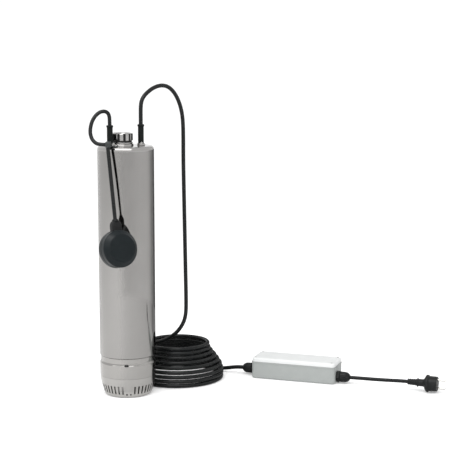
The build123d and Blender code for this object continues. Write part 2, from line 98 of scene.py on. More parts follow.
def remap(nt, src, a, b, lo=0.3, hi=0.7):
    r = nt.nodes.new("ShaderNodeMapRange")
    r.inputs["From Min"].default_value = lo
    r.inputs["From Max"].default_value = hi
    r.inputs["To Min"].default_value = a
    r.inputs["To Max"].default_value = b
    nt.links.new(src, r.inputs["Value"])
    return r.outputs[0]


def ramp(nt, src, c0, c1, p0=0.3, p1=0.7):
    r = nt.nodes.new("ShaderNodeValToRGB")
    e = r.color_ramp.elements
    e[0].position, e[1].position = p0, p1
    e[0].color = (*c0, 1.0)
    e[1].color = (*c1, 1.0)
    nt.links.new(src, r.inputs[0])
    return r.outputs[0]


def bump(nt, b, src, strength, dist, prev=None):
    n = nt.nodes.new("ShaderNodeBump")
    n.inputs["Strength"].default_value = strength
    n.inputs["Distance"].default_value = dist
    nt.links.new(src, n.inputs["Height"])
    if prev is not None:
        nt.links.new(prev, n.inputs["Normal"])
    nt.links.new(n.outputs[0], b.inputs["Normal"])
    return n.outputs[0]


def steel(name, c0, c1, r0, r1, stretch=(1, 1, 1), bumpy=0.0, grain=900.0, metallic=1.0):
    m, nt, b = new_mat(name)
    b.inputs["Metallic"].default_value = metallic
    big = noise(nt, coords(nt), 14.0, 3.0)
    nt.links.new(ramp(nt, big, c0, c1), b.inputs["Base Color"])
    fine = noise(nt, coords(nt, stretch), grain, 3.0, 0.6)
    nt.links.new(remap(nt, fine, r0, r1), b.inputs["Roughness"])
    if bumpy > 0:
        bump(nt, b, fine, bumpy, 0.00005)
    return m


def plastic(name, c0, c1, r0, r1, grain=1600.0, bumpy=0.25, spec=0.5, coat=0.0, big=30.0):
    m, nt, b = new_mat(name)
    b.inputs["Specular IOR Level"].default_value = spec
    b.inputs["Coat Weight"].default_value = coat
    b.inputs["Coat Roughness"].default_value = 0.15
    n1 = noise(nt, coords(nt), big, 4.0)
    nt.links.new(ramp(nt, n1, c0, c1), b.inputs["Base Color"])
    n2 = noise(nt, coords(nt), grain, 2.0, 0.6)
    nt.links.new(remap(nt, n1, r0, r1), b.inputs["Roughness"])
    bump(nt, b, n2, bumpy, 0.00008)
    return m


M = {}
M["jacket"] = steel("polished_jacket", (0.288, 0.281, 0.273), (0.301, 0.294, 0.286), 0.06, 0.09, (1, 1, 0.06), 0.02, 500.0)
M["head"] = steel("polished_head", (0.345, 0.338, 0.330), (0.370, 0.362, 0.354), 0.05, 0.10, (1, 1, 1), 0.02, 420.0)
M["port"] = steel("polished_port", (0.34, 0.335, 0.33), (0.39, 0.385, 0.38), 0.06, 0.13, (1, 1, 1), 0.03, 600.0)
M["casing"] = steel("polished_casing", (0.318, 0.310, 0.299), (0.336, 0.328, 0.317), 0.08, 0.13, (1, 1, 0.06), 0.03, 500.0)
M["strainer"] = steel("satin_strainer", (0.345, 0.338, 0.327), (0.372, 0.364, 0.353), 0.14, 0.22, (1, 1, 1), 0.05, 700.0)
# near-black steel for the casing lock screws: painted shade, as they sit in their notches
M["screw_in_painted_shade"] = steel("recessed_screw", (0.055, 0.055, 0.055), (0.085, 0.085, 0.085), 0.25, 0.38, (1, 1, 1), 0.10, 1500.0)
# near-black steel for the port flute floors, the port undercuts, the casing groove and notches and the float seam:
# painted shade in those hollows
M["painted_shade_dark"] = steel("recess_painted_shade", (0.010, 0.010, 0.010), (0.018, 0.018, 0.018), 0.35, 0.55, (1, 1, 1), 0.05, 700.0, metallic=0.6)
M["screw"] = steel("screw_steel", (0.36, 0.36, 0.35), (0.46, 0.455, 0.445), 0.18, 0.30, (1, 1, 1), 0.10, 1500.0)
M["machined"] = steel("machined_steel", (0.42, 0.42, 0.41), (0.52, 0.515, 0.51), 0.20, 0.32, (1, 1, 8.0), 0.12, 350.0)
M["cast"] = steel("cast_iron", (0.060, 0.062, 0.066), (0.105, 0.107, 0.112), 0.50, 0.70, (1, 1, 1), 0.55, 700.0, metallic=0.75)
M["lamination"] = steel("lamination_steel", (0.14, 0.14, 0.15), (0.24, 0.24, 0.25), 0.32, 0.48, (0.02, 0.02, 6.0), 0.6, 400.0)
M["copper"] = steel("enamelled_copper", (0.42, 0.15, 0.055), (0.58, 0.22, 0.085), 0.28, 0.42, (1, 1, 1), 0.6, 900.0)
M["bronze"] = steel("bronze", (0.44, 0.29, 0.13), (0.54, 0.37, 0.17), 0.25, 0.40, (1, 1, 1), 0.15, 900.0)
M["can"] = steel("aluminium_can", (0.58, 0.585, 0.59), (0.66, 0.665, 0.67), 0.25, 0.38, (4.0, 0.2, 1.0), 0.2, 300.0)
M["nickel"] = steel("nickel_pin", (0.60, 0.59, 0.56), (0.70, 0.69, 0.66), 0.10, 0.20, (1, 1, 1), 0.05, 900.0)
M["cable"] = plastic("cable_sheath", (0.0050, 0.0057, 0.0059), (0.0078, 0.0088, 0.0090), 0.24, 0.34, 2200.0, 0.20, 0.21, 0.0, 60.0)
M["gland"] = plastic("rubber_sleeve", (0.0036, 0.0048, 0.0044), (0.0058, 0.0074, 0.0068), 0.42, 0.55, 1800.0, 0.30, 0.13, 0.0, 80.0)
M["float"] = plastic("float_shell", (0.0046, 0.0074, 0.0086), (0.0060, 0.0092, 0.0106), 0.30, 0.38, 2600.0, 0.26, 0.16, 0.0, 50.0)
M["neck"] = plastic("float_neck", (0.0060, 0.0062, 0.0066), (0.0084, 0.0086, 0.0090), 0.44, 0.56, 2200.0, 0.30, 0.17, 0.0, 70.0)
M["clip"] = plastic("clip_plastic", (0.022, 0.025, 0.025), (0.032, 0.035, 0.035), 0.32, 0.45, 2000.0, 0.3, 0.3, 0.0, 120.0)
# base and lid are one grey plastic: the lid is painted lighter as painted light for its lit top, the base darker as
# painted shade
M["box"] = plastic("box_grey", (0.310, 0.326, 0.319), (0.331, 0.347, 0.340), 0.42, 0.52, 2400.0, 0.22, 0.3, 0.0, 40.0)
M["lid"] = plastic("lid_grey", (0.650, 0.661, 0.659), (0.684, 0.695, 0.693), 0.36, 0.46, 2400.0, 0.18, 0.3, 0.0, 40.0)
M["nut"] = plastic("gland_nut", (0.0056, 0.0064, 0.0066), (0.0084, 0.0094, 0.0096), 0.34, 0.46, 2000.0, 0.3, 0.20, 0.0, 90.0)
M["plug"] = plastic("plug_body", (0.0062, 0.0070, 0.0071), (0.0096, 0.0106, 0.0108), 0.36, 0.48, 2200.0, 0.3, 0.22, 0.0, 90.0)
M["engplastic"] = plastic("impeller_plastic", (0.030, 0.031, 0.034), (0.045, 0.046, 0.050), 0.40, 0.55, 1500.0, 0.3)
M["ceramic"] = plastic("seal_ceramic", (0.66, 0.63, 0.58), (0.74, 0.71, 0.66), 0.16, 0.26, 1200.0, 0.08)
M["gasket"] = plastic("gasket_rubber", (0.0150, 0.0155, 0.0160), (0.0220, 0.0225, 0.0230), 0.55, 0.70, 1800.0, 0.4)
# pale grey gasket: painted light that lifts the shade of the gap under the lid
M["seal_painted_light"] = plastic("pale_seal_painted_light", (0.40, 0.41, 0.405), (0.46, 0.47, 0.465), 0.55, 0.70, 1800.0, 0.3, 0.3)

NODE_MAT = {
    "outer_sleeve": "jacket", "discharge_head": "head", "discharge_port": "port", "suction_casing": "casing",
    "suction_strainer": "strainer", "gland_plates": "head", "casing_lock_screws": "screw", "gland_screws": "screw",
    "clip_screw": "screw", "box_screws": "screw", "shaft": "machined", "shaft_spacers": "machined",
    "impeller_nut": "machined", "suction_plate": "machined", "motor_casing": "casing", "bearing_outer_races": "machined",
    "bearing_inner_races": "machined", "bearing_balls": "nickel", "float_ball": "nickel", "switch_lever": "machined",
    "seal_housing": "cast", "lower_bearing_bracket": "cast", "upper_bearing_bracket": "cast", "motor_top_cover": "cast",
    "stage_bowl_1": "engplastic", "stage_bowl_2": "engplastic", "stage_bowl_3": "engplastic",
    "impeller_1": "engplastic", "impeller_2": "engplastic", "impeller_3": "engplastic",
    "stator_core": "lamination", "rotor_core": "lamination", "stator_winding": "copper",
    "lower_bush": "bronze", "plug_earth_contact": "bronze", "seal_seat": "ceramic", "seal_ring": "ceramic",
    "sleeve_o_rings": "gasket", "box_gasket": "seal_painted_light", "power_cable_gland": "gland", "float_cable_gland": "gland",
    "float_neck": "neck", "float_shell_front": "float", "float_shell_back": "float", "float_microswitch": "float",
    "float_cable_clip": "clip", "box_base": "box", "box_lid": "lid", "box_gland_bodies": "nut",
    "box_gland_nuts": "nut", "capacitor": "can", "plug_body": "plug", "plug_sleeve": "plug", "plug_pins": "nickel",
    "power_cable_run": "cable", "power_cable_coil": "cable", "power_cable_link": "cable", "mains_cable": "cable",
    "float_cable_loop": "cable", "float_cable_drop": "cable",
}
for node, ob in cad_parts.items():
    key = NODE_MAT[node]
    ob.data.materials.clear()
    ob.data.materials.append(M[key])
    for s in ob.material_slots:
        s.material = M[key]


# ============================================================ mesh helpers (millimetres in, metres out)
def shade(ob, deg=30):
    me = ob.data
    for p in me.polygons:
        p.use_smooth = True
    me.set_sharp_from_angle(angle=math.radians(deg))


def build(name, verts, faces, mat, deg=30, mtx=None, mats=None, face_mat=None):
    me = bpy.data.meshes.new(name)
    me.from_pydata([Vector(v) for v in verts], [], faces)
    if mtx is not None:
        me.transform(mtx)
    me.validate()
    bm = bmesh.new()
    bm.from_mesh(me)
    bmesh.ops.remove_doubles(bm, verts=bm.verts, dist=1e-7)
    bmesh.ops.recalc_face_normals(bm, faces=bm.faces)
    bm.to_mesh(me)
    bm.free()
    me.update()
    ob = bpy.data.objects.new(name, me)
    COLL.objects.link(ob)
    for k in ([mat] if mats is None else mats):
        me.materials.append(M[k])
    if face_mat is not None:
        for p in me.polygons:
            p.material_index = face_mat(p.center)
    shade(ob, deg)
    return ob


def fil(pts, seg=5):
    """Rounds the corners of a closed (r, z) outline; each point is (r, z) or (r, z, radius)."""
    out = []
    n = len(pts)
    for i in range(n):
        p = pts[i]
        rad = p[2] if len(p) > 2 else 0.0
        P = Vector((p[0], p[1]))
        if rad <= 0:
            out.append((P.x, P.y))
            continue
        A = Vector(pts[i - 1][:2])
        B = Vector(pts[(i + 1) % n][:2])
        da, db = (A - P), (B - P)
        la, lb = da.length, db.length
        da.normalize()
        db.normalize()
        ang = math.acos(max(-1.0, min(1.0, da.dot(db))))
        t = min(rad / math.tan(ang / 2), la * 0.49, lb * 0.49)
        r = t * math.tan(ang / 2)
        c = P + (da + db).normalized() * (r / math.sin(ang / 2))
        s = P + da * t
        e = P + db * t
        a0 = math.atan2(s.y - c.y, s.x - c.x)
        a1 = math.atan2(e.y - c.y, e.x - c.x)
        d = (a1 - a0 + math.pi) % (2 * math.pi) - math.pi
        for k in range(seg + 1):
            a = a0 + d * k / seg
            out.append((c.x + r * math.cos(a), c.y + r * math.sin(a)))
    return out


def lathe(name, prof, mat, n=192, mtx=None, deg=30, fn=None, mats=None, face_mat=None):
    verts, rings = [], []
    for (r, z) in prof:
        if r < 1e-6:
            rings.append([len(verts)])
            verts.append((0, 0, z * MM))
        else:
            idx = []
            for i in range(n):
                a = 2 * math.pi * i / n
                rr = fn(r, z, a) if fn else r
                idx.append(len(verts))
                verts.append((rr * MM * math.cos(a), rr * MM * math.sin(a), z * MM))
            rings.append(idx)
    faces = []
    m = len(prof)
    for k in range(m):
        A, B = rings[k], rings[(k + 1) % m]
        if len(A) == 1 and len(B) == 1:
            continue
        for i in range(n):
            j = (i + 1) % n
            if len(A) == 1:
                faces.append((A[0], B[j], B[i]))
            elif len(B) == 1:
                faces.append((A[i], A[j], B[0]))
            else:
                faces.append((A[i], A[j], B[j], B[i]))
    return build(name, verts, faces, mat, deg, mtx, mats, face_mat)


def rr_ring(lx, ly, R, inset, seg=8):
    hx, hy = lx / 2 - inset, ly / 2 - inset
    r = max(R - inset, 0.15)
    pts = []
    for (sx, sy, a0) in ((1, 1, 0), (-1, 1, 90), (-1, -1, 180), (1, -1, 270)):
        for k in range(seg + 1):
            a = math.radians(a0 + 90.0 * k / seg)
            pts.append((sx * (hx - r) + r * math.cos(a), sy * (hy - r) + r * math.sin(a)))
    return pts


def rloft(name, lx, ly, R, seq, mat, mtx=None, deg=30, seg=8, cap0=True, cap1=True):
    verts, faces = [], []
    m = 4 * (seg + 1)
    for (inset, z) in seq:
        for (x, y) in rr_ring(lx, ly, R, inset, seg):
            verts.append((x * MM, y * MM, z * MM))
    for k in range(len(seq) - 1):
        for i in range(m):
            j = (i + 1) % m
            faces.append((k * m + i, k * m + j, (k + 1) * m + j, (k + 1) * m + i))
    if cap0:
        faces.append(tuple(reversed(range(m))))
    if cap1:
        faces.append(tuple((len(seq) - 1) * m + i for i in range(m)))
    return build(name, verts, faces, mat, deg, mtx)


def frame_m(o, x, y, z):
    x, y, z = Vector(x).normalized(), Vector(y).normalized(), Vector(z).normalized()
    return Matrix(((x.x, y.x, z.x, o[0] * MM), (x.y, y.y, z.y, o[1] * MM), (x.z, y.z, z.z, o[2] * MM), (0, 0, 0, 1)))


def bake_modifiers(ob, deg=30):
    dg = bpy.context.evaluated_depsgraph_get()
    me = bpy.data.meshes.new_from_object(ob.evaluated_get(dg))
    ob.modifiers.clear()
    ob.data = me
    shade(ob, deg)
    return ob


def cut(ob, cutters, deg=30):
    for c in cutters:
        md = ob.modifiers.new("cut", "BOOLEAN")
        md.operation = "DIFFERENCE"
        md.solver = "EXACT"
        md.object = c
    bake_modifiers(ob, deg)
    for c in cutters:
        bpy.data.objects.remove(c)
    return ob


def bevel(ob, width, seg=3, angle=35, deg=30):
    md = ob.modifiers.new("bevel", "BEVEL")
    md.width = width * MM
    md.segments = seg
    md.limit_method = "ANGLE"
    md.angle_limit = math.radians(angle)
    md.harden_normals = False
    bake_modifiers(ob, deg)
    return ob


def prism(name, outline, z0, z1, mat, mtx=None, deg=30):
    n = len(outline)
    verts = [(x * MM, y * MM, z0 * MM) for x, y in outline] + [(x * MM, y * MM, z1 * MM) for x, y in outline]
    faces = [tuple(reversed(range(n))), tuple(range(n, 2 * n))]
    faces += [(i, (i + 1) % n, n + (i + 1) % n, n + i) for i in range(n)]
    return build(name, verts, faces, mat, deg, mtx)


def join(name, obs):
    bm = bmesh.new()
    mats = []
    for o in obs:
        for m in o.data.materials:
            if m not in mats:
                mats.append(m)
    for o in obs:
        base = len(bm.faces)
        idx = [mats.index(m) for m in o.data.materials]
        bm.from_mesh(o.data)
        bm.faces.ensure_lookup_table()
        for f in bm.faces[base:]:
            f.material_index = idx[min(f.material_index, len(idx) - 1)]
    me = bpy.data.meshes.new(name)
    bm.to_mesh(me)
    bm.free()
    for m in mats:
        me.materials.append(m)
    ob = bpy.data.objects.new(name, me)
    COLL.objects.link(ob)
    for o in obs:
        bpy.data.objects.remove(o)
    return ob


def place(ob, body, slot, *nodes):
    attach(ob, body)
    if nodes:
        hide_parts(*nodes)
    return ob


def hexr(af, a, phase=0.0):
    t = (a + phase) % (math.pi / 3) - math.pi / 6
    return af / 2 / math.cos(t)


# ============================================================ shared geometry (same numbers as the CAD)
GX, GY = 34.4, 7.5
FX, FY = -33.3, -26.0
PX, PY = -9.0, 2.0
R_PC, R_FC, R_MC = 4.7, 4.3, 4.3
BOX_A = math.radians(-20.3)
BU = Vector((math.cos(BOX_A), math.sin(BOX_A), 0))
BV = Vector((-BU.y, BU.x, 0))
BC = Vector((399.4, 122.1, 0))
GL_V, GL_Z = {-1: -1.0, 1: -14.0}, 15.0
BOX_L, BOX_W, BOX_H, LID_H = 208.0, 77.6, 39.8, 10.6


def bx(u, v, z):
    p = BC + BU * u + BV * v
    return (p.x, p.y, z)


PA = math.radians(-21.5)
PU = Vector((math.cos(PA), math.sin(PA), 0))
PC = Vector((650.0, 2.0, 20.0))
FC = Vector((-13.2, -105.0, 352.0))
FXA = Vector((0.85303, 0.52180, -0.00774))
FYA = Vector((-0.09978, 0.17763, 0.97903))
FNA = Vector((0.51223, -0.83437, 0.20359))
HP = Vector((-35.0, -66.2, 566.0))


# ============================================================ cords
def nurbs(name, pts, radius, mat):
    cu = bpy.data.curves.new(name, "CURVE")
    cu.dimensions = "3D"
    sp = cu.splines.new("NURBS")
    sp.points.add(len(pts) - 1)
    for i, p in enumerate(pts):
        sp.points[i].co = (p[0] * MM, p[1] * MM, p[2] * MM, 1.0)
    sp.order_u = 3
    sp.use_endpoint_u = True
    sp.resolution_u = 12
    cu.bevel_depth = radius * MM
    cu.bevel_resolution = 6
    cu.use_fill_caps = True
    ob = bpy.data.objects.new(name, cu)
    COLL.objects.link(ob)
    cu.materials.append(M[mat])
    return ob


def smooth(t):
    t = max(0.0, min(1.0, t))
    return t * t * (3 - 2 * t)


def line_of(ob):
    """The points that a curve follows, read from the curve itself with no bevel."""
    d = ob.data.bevel_depth
    caps = ob.data.use_fill_caps
    ob.data.bevel_depth = 0.0
    ob.data.use_fill_caps = False
    dg = bpy.context.evaluated_depsgraph_get()
    dg.update()
    me = bpy.data.meshes.new_from_object(ob.evaluated_get(dg))
    pts = [v.co.copy() for v in me.vertices]
    bpy.data.meshes.remove(me)
    ob.data.bevel_depth = d
    ob.data.use_fill_caps = caps
    return pts


def length_of(pts):
    return sum((pts[i + 1] - pts[i]).length for i in range(len(pts) - 1))


POWER = [(GX, GY, 600.0), (GX, GY, 636.0), (34.7, 7.9, 662.0), (37.2, 10.2, 673.6), (42.0, 15.0, 682.6),
         (49.6, 23.0, 690.4), (59.5, 34.0, 698.2), (71.6, 46.5, 703.6), (84.0, 58.5, 704.9), (96.0, 70.0, 700.8),
         (106.6, 81.0, 690.6), (115.8, 91.0, 674.8), (123.2, 100.5, 654.0), (127.9, 107.5, 628.0),
         (128.9, 112.0, 590.0), (128.5, 115.0, 528.0), (129.9, 117.4, 432.0), (131.3, 119.0, 336.0),
         (132.7, 120.0, 241.0), (133.5, 120.2, 185.0), (132.4, 120.2, 156.0), (126.6, 120.4, 136.0),
         (113.0, 121.0, 115.4), (95.0, 125.0, 100.6), (76.0, 131.0, 90.2), (58.5, 138.6, 85.6),
         (47.4, 148.2, 84.9)]
CX, CY = 112.0, 137.0
LEVEL_R = [105.6, 106.4, 105.4, 102.7, 96.8, 89.4, 81.2, 75.0, 72.6]
coil = []
per_turn = 16
a_end = 3352.0
n_pts = int(a_end / 360.0 * per_turn)
jit = [(random.uniform(-0.9, 0.9), random.uniform(0, 360)) for _ in range(11)]
for i in range(1, n_pts + 1):
    a = a_end * i / n_pts
    phi = 162.0 - a
    steps = sum(smooth((a - (342.0 + 360.0 * k) + 32.0) / 64.0) for k in range(8))
    lev = 8.0 - steps
    l0 = min(7, int(lev))
    R = LEVEL_R[l0] + (LEVEL_R[l0 + 1] - LEVEL_R[l0]) * (lev - l0) + 9.8 * smooth((a - 3165.0) / 97.0)
    turn = a / 360.0
    k0 = int(turn)
    f = turn - k0
    wob = (1 - f) * jit[k0][0] * math.sin(math.radians(phi + jit[k0][1])) + f * jit[k0 + 1][0] * math.sin(
        math.radians(phi + jit[k0 + 1][1]))
    R += wob * (0.45 if lev > 0.05 else 0.0)
    z = 4.7 + 10.02 * lev
    tilt = 0.6 * (lev / 8.0)
    pr = math.radians(phi)
    y = R / 0.981 * math.sin(pr)
    z -= tilt * (y / 76.0)
    coil.append((CX + R / 0.981 * math.cos(pr), CY + y, max(z, 4.72)))
LINK = [(203.0, 202.6, 5.0), (217.0, 191.8, 6.6), (233.0, 183.2, 9.8), (248.0, 177.2, 12.9),
        bx(-145.0, GL_V[-1], GL_Z), bx(-120.0, GL_V[-1], GL_Z)]
power = nurbs("power_cable", POWER + coil + LINK, R_PC, "cable")

LOOP = [(FX, FY, 600.0), (FX, FY, 631.0), (-34.2, -26.4, 640.5), (-37.4, -27.4, 647.2),
        (-43.6, -29.6, 650.6), (-53.4, -32.6, 649.6), (-63.8, -36.8, 641.6), (-71.4, -42.0, 629.0),
        (-74.8, -46.8, 614.6), (-75.0, -51.0, 602.0), (-71.0, -55.6, 590.2), (-64.0, -59.6, 582.8),
        (-54.4, -63.4, 578.8), (-37.0, -63.4, 578.8)]
loop = nurbs("float_cable_upper", LOOP, R_FC, "cable")

D0 = FC + FYA * 50.0
DROP = [(-35.4, -63.9, 578.0), (-35.3, -65.2, 572.0), tuple(HP), tuple(HP + (D0 - HP) * 0.18),
        tuple(HP + (D0 - HP) * 0.5), tuple(HP + (D0 - HP) * 0.8), tuple(D0)]
drop_c = nurbs("float_cable_line", DROP, R_FC, "cable")
drop_c.data.splines[0].resolution_u = 24
DROP_LINE = line_of(drop_c)

MAINS = [bx(120.0, GL_V[1], GL_Z), bx(146.0, GL_V[1], GL_Z), (556.0, 49.2, 15.2), (584.0, 36.8, 15.9),
         (612.0, 22.4, 17.6), tuple(PC - PU * 16.0), tuple(PC + PU * 4.0)]
mains = nurbs("mains_lead", MAINS, R_MC, "cable")


def tube(name, pts, radius, mat, n=24):
    """A mesh tube along points, with closed ends."""
    verts, faces = [], []
    t = (pts[1] - pts[0]).normalized()
    up = Vector((1, 0, 0)) if abs(t.x) < 0.9 else Vector((0, 1, 0))
    nrm = (up - t * up.dot(t)).normalized()
    for i, p in enumerate(pts):
        t1 = (pts[min(i + 1, len(pts) - 1)] - pts[max(i - 1, 0)]).normalized()
        nrm = (nrm - t1 * nrm.dot(t1)).normalized()
        bn = t1.cross(nrm)
        for k in range(n):
            a = 2 * math.pi * k / n
            verts.append(p + (nrm * math.cos(a) + bn * math.sin(a)) * radius * MM)
    for i in range(len(pts) - 1):
        for k in range(n):
            j = (k + 1) % n
            faces.append((i * n + k, i * n + j, (i + 1) * n + j, (i + 1) * n + k))
    faces.append(tuple(reversed(range(n))))
    faces.append(tuple((len(pts) - 1) * n + k for k in range(n)))
    return build(name, verts, faces, mat, 40)


drop = tube("float_cable_lower", DROP_LINE, R_FC, "cable", 28)
bpy.data.objects.remove(drop_c)

POWER_LEN = length_of(line_of(power))
LOOP_LEN = length_of(line_of(loop))
MAINS_LEN = length_of(line_of(mains))

place(power, "pump", "cable_rubber", "power_cable_run", "power_cable_coil", "power_cable_link")
place(loop, "pump", "cable_rubber", "float_cable_loop")
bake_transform(drop)
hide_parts("float_cable_drop")
place(mains, "pump", "cable_rubber", "mains_cable")


# ============================================================ pump body
# --- jacket: a polished tube with rolled ends
jk = lathe("jacket_tube", fil([(59.0, 93.0), (63.2, 92.5), (64.0, 93.4, 0.6), (64.0, 562.0), (59.0, 562.0)], 3),
           "jacket", n=256)
place(jk, "pump", "polished_stainless", "outer_sleeve")

# --- head: rolled shoulder, flat top and the raised step round the port
def arc(cx, cz, r, a0, a1, n):
    return [(cx + r * math.cos(math.radians(a0 + (a1 - a0) * k / n)), cz + r * math.sin(math.radians(a0 + (a1 - a0) * k / n)))
            for k in range(n + 1)]


hp = [(0.0, 562.02), (64.0, 562.02)] + arc(56.0, 564.0, 8.0, 0, 90, 16) + [(30.0, 572.0), (0.0, 572.0)]
hd = lathe("head_cap", hp, "head", n=256, deg=35)
step = lathe("port_step", fil([(20.0, 571.0), (27.4, 571.0), (27.2, 573.0, 0.5), (26.6, 576.0, 0.5), (20.0, 576.0)], 4), "head", n=160,
             mtx=Matrix.Translation((PX * MM, PY * MM, 0)))
inner_spig = lathe("head_spigot", [(59.4, 546.0), (62.2, 546.0), (62.2, 562.5), (59.4, 562.5)], "head", n=128)
head_all = join("head", [hd, step, inner_spig])
shade(head_all, 32)
place(head_all, "pump", "polished_stainless", "discharge_head")

# --- port: twelve round flutes between flat ribs, threaded inside; the flute floors are painted near-black as painted shade
def port_mesh():
    n = 12 * 28
    ro, rf, zt = 25.7, 22.9, 600.0
    levels = [(583.2, -1.9), (583.5, -0.6), (584.2, 0.0), (587.0, 0.0), (591.0, 0.0), (594.0, 0.0), (596.6, 0.0),
              (598.4, -0.25), (599.4, -0.8), (599.9, -1.7)]
    verts, faces, fm = [], [], []
    rings = []
    for (z, dr) in levels:
        ring = []
        fade = 1.0 - smooth((z - 597.8) / 1.8)
        for i in range(n):
            a = 2 * math.pi * i / n
            t = ((math.degrees(a) + 90.0 - 18.0) % 30.0)
            t = t - 30.0 if t > 15.0 else t
            w = abs(t)
            d = 0.0
            if w < 6.2:
                d = (ro - rf) * math.sqrt(max(0.0, 1.0 - (w / 6.2) ** 2)) ** 0.8
            r = ro + dr - d * fade
            ring.append(len(verts))
            verts.append((r * MM * math.cos(a), r * MM * math.sin(a), z * MM))
        rings.append(ring)
    ri = [(20.9, 599.9), (19.7, 598.8)]
    z = 598.4
    k = 0
    while z > 577.5:
        ri.append((19.15 if k % 2 else 19.85, z))
        z -= 0.92
        k += 1
    ri += [(19.5, 577.0), (19.5, 566.0)]
    for (r, z) in ri:
        ring = []
        for i in range(n):
            a = 2 * math.pi * i / n
            ring.append(len(verts))
            verts.append((r * MM * math.cos(a), r * MM * math.sin(a), z * MM))
        rings.append(ring)
    for k in range(len(rings) - 1):
        for i in range(n):
            j = (i + 1) % n
            faces.append((rings[k][i], rings[k][j], rings[k + 1][j], rings[k + 1][i]))

    def flute_shade_index(c):
        rr = math.hypot(c.x, c.y) / MM
        if 21.5 < rr < 25.2 and 583.3 < c.z / MM < 598.8:
            return 1
        return 0
    return build("port_collar", verts, faces, "port", 34, Matrix.Translation((PX * MM, PY * MM, 0)), ["port", "painted_shade_dark"],
                 lambda c: flute_shade_index(c - Vector((PX * MM, PY * MM, 0))))


port = port_mesh()
MPT = Matrix.Translation((PX * MM, PY * MM, 0))
spig = lathe("port_spigot", [(20.2, 562.0), (22.5, 562.0), (22.5, 577.0), (20.2, 577.0)], "port", n=96, mtx=MPT)
flange = lathe("port_flange", fil([(20.2, 576.8), (25.0, 576.8), (25.5, 577.2, 0.2), (25.5, 579.2, 0.6), (24.8, 579.8, 0.3), (20.2, 579.8)], 4), "port", n=160, mtx=MPT)
# the two undercut bands below the collar are painted near-black: painted shade
under = lathe("port_undercut", [(20.2, 575.9), (24.2, 575.9), (24.2, 576.9), (20.2, 576.9)], "painted_shade_dark", n=128, mtx=MPT)
under2 = lathe("port_undercut2", [(20.2, 579.6), (23.4, 579.6), (23.4, 583.6), (20.2, 583.6)], "painted_shade_dark", n=128, mtx=MPT)
port = join("port", [port, spig, flange, under, under2])
place(port, "pump", "polished_stainless", "discharge_port")

def slot_outline(L, W, seg=16):
    h = L / 2 - W / 2
    pts = [(h + W / 2 * math.cos(math.radians(t)), W / 2 * math.sin(math.radians(t))) for t in
           [-90 + 180 * k / seg for k in range(seg + 1)]]
    pts += [(-h + W / 2 * math.cos(math.radians(t)), W / 2 * math.sin(math.radians(t))) for t in
            [90 + 180 * k / seg for k in range(seg + 1)]]
    return pts


# --- suction casing: groove lip, cove, sharp ledge, plain wall
cs = lathe("casing_wall", fil([(60.0, 45.2), (63.7, 45.2, 0.3), (64.0, 47.0), (64.0, 75.2, 0.25), (63.1, 77.3, 0.4),
                               (62.2, 80.0, 1.5), (61.9, 84.0), (61.9, 90.4), (62.6, 91.4, 0.5), (62.2, 92.2), (62.2, 104.0),
                               (58.6, 104.0), (58.6, 78.0), (60.0, 74.0)], 4), "casing", n=256, deg=25)
# the groove ring and the three notch cuts carry the near-black steel: painted shade in the groove and notches
gr = lathe("casing_groove", [(59.0, 91.9), (62.75, 91.9), (62.75, 93.1), (59.0, 93.1)], "painted_shade_dark", n=192)
recs = []
for i in range(3):
    a = math.radians(-90 + 120 * i)
    mt = Matrix.Rotation(a, 4, "Z") @ Matrix.Translation((61.0 * MM, 0, 76.8 * MM)) @ Matrix.Rotation(math.pi / 2, 4, "Y")
    recs.append(prism("recess%d" % i, [(y, x) for x, y in slot_outline(10.0, 4.8)], 0.0, 6.0, "painted_shade_dark", mt))
cs.data.materials.append(M["painted_shade_dark"])
cut(cs, recs, 25)
cs = join("casing", [cs, gr])
place(cs, "pump", "polished_stainless", "suction_casing")
# the lock screws use the near-black screw steel: painted shade in their notches
sc_parts = []
for i in range(3):
    a = math.radians(-90 + 120 * i)
    mt = Matrix.Rotation(a, 4, "Z") @ Matrix.Translation((61.0 * MM, 0, 76.8 * MM)) @ Matrix.Rotation(math.pi / 2, 4, "Y")
    sc_parts.append(lathe("lock%d" % i, fil([(0.0, -2.6), (1.8, -2.6), (1.8, 0.1), (2.25, 0.1), (2.25, 1.3, 0.4), (1.2, 1.5, 0.1), (1.1, 0.6), (0.0, 0.6)], 3),
                          "screw_in_painted_shade" if "screw_in_painted_shade" in M else "screw", n=48, mtx=mt))
place(join("lock_screws", sc_parts), "pump", "steel", "casing_lock_screws")

# --- rubber gland sleeves
def gland(name, x, y, rc, node):
    prof = [(rc - 0.1, 600.0), (rc - 0.1, 618.4, 0.3), (rc + 0.5, 619.2, 0.3), (7.0, 619.0, 0.7), (7.75, 618.0, 0.5), (7.75, 615.2, 0.6), (6.65, 613.8, 0.5)]
    z = 611.0
    while z > 580.0:
        prof += [(6.6, z), (6.6, z - 5.0, 0.3), (6.48, z - 5.4, 0.2), (6.48, z - 5.9, 0.2), (6.62, z - 6.3, 0.2)]
        z -= 9.0
    prof += [(6.7, 575.2, 0.4), (7.6, 573.6, 0.5), (7.6, 572.1), (rc - 0.1, 572.1)]
    g = lathe(name, fil(prof, 3), "gland", n=96, mtx=Matrix.Translation((x * MM, y * MM, 0)))
    place(g, "pump", "black_rubber", node)


gland("gland_sleeve_r", GX, GY, R_PC, "power_cable_gland")
gland("gland_sleeve_l", FX, FY, R_FC, "float_cable_gland")


def cap_screw(name, x, y, z0, r=3.1, h=2.8, mat="screw"):
    """A socket head screw with a hexagon recess and a chamfered rim."""
    mt = Matrix.Translation((x * MM, y * MM, z0 * MM))

    def sock(rr, z, a):
        return rr if rr > 1.7 else hexr(3.0, a) * rr / 1.5
    prof = [(0.0, 0.0), (r - 0.1, 0.0), (r, 0.15), (r, h - 0.35), (r - 0.3, h), (1.62, h), (1.5, h - 0.15), (1.5, h - 1.8), (0.0, h - 1.8)]
    return lathe(name, prof, mat, n=48, mtx=mt, fn=sock)


